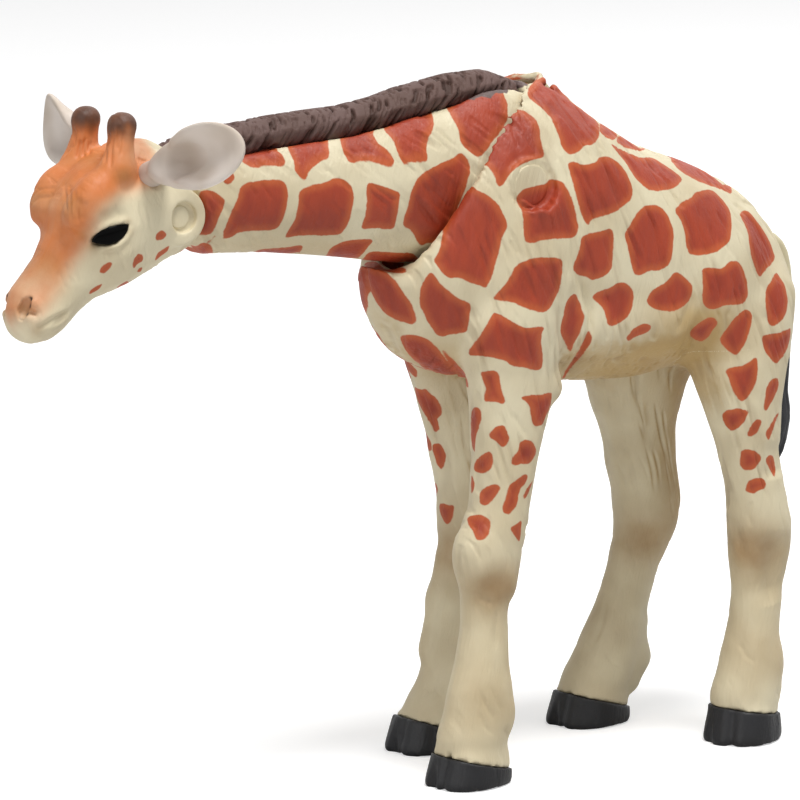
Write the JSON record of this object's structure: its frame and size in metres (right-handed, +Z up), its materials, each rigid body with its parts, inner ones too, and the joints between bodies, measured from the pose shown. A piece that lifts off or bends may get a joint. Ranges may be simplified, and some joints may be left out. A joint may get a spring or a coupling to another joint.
{
  "type": "toy giraffe figure",
  "caption": "Hand-painted toy giraffe that stands on cloven hooves, with a neck that swings up from level on a shoulder pin and a head that nods on a cheek pin.",
  "frame": {"origin": "on the floor under the middle of the figure's bounding box", "axes": "+X towards the head, +Y to the animal's left, +Z up"},
  "size_m": [0.0935, 0.0356, 0.0692],
  "materials": {
    "body_paint": "cream with red-brown giraffe patches, satin",
    "head_paint": "orange-tan over cream, dark horn tips, satin",
    "mane_paint": "dark grey-brown, matt",
    "tail_paint": "cream stem with a black tuft, matt",
    "hoof_plastic": "matt black",
    "ear_paint": "pinkish white with grey-brown shading, satin",
    "eye_plastic": "gloss black",
    "pin_plastic": "cream, satin"
  },
  "bodies": {
    "body": {"torso_left_shell": "body_paint", "torso_right_shell": "body_paint", "front_left_leg": "body_paint", "front_right_leg": "body_paint", "rear_left_leg": "body_paint", "rear_right_leg": "body_paint", "front_left_hoof": "hoof_plastic", "front_right_hoof": "hoof_plastic", "rear_left_hoof": "hoof_plastic", "rear_right_hoof": "hoof_plastic", "tail": "tail_paint", "neck_pivot_pin": "pin_plastic"},
    "neck": {"neck_left_half": "body_paint", "neck_right_half": "body_paint", "mane": "mane_paint"},
    "head": {"head": "head_paint", "head_pivot_pin": "pin_plastic", "left_ear": "ear_paint", "right_ear": "ear_paint", "left_eye": "eye_plastic", "right_eye": "eye_plastic"}
  },
  "joints": [
    {"name": "neck_pivot", "type": "hinge", "parent": "body", "child": "neck", "pos_m": [-0.00762, 0, 0.05877], "axis": [0, -1, 0], "range_deg": [0, 60]},
    {"name": "head_pivot", "type": "hinge", "parent": "neck", "child": "head", "pos_m": [0.03048, 0, 0.05809], "axis": [0, -1, 0], "range_deg": [-30, 15]}
  ]
}
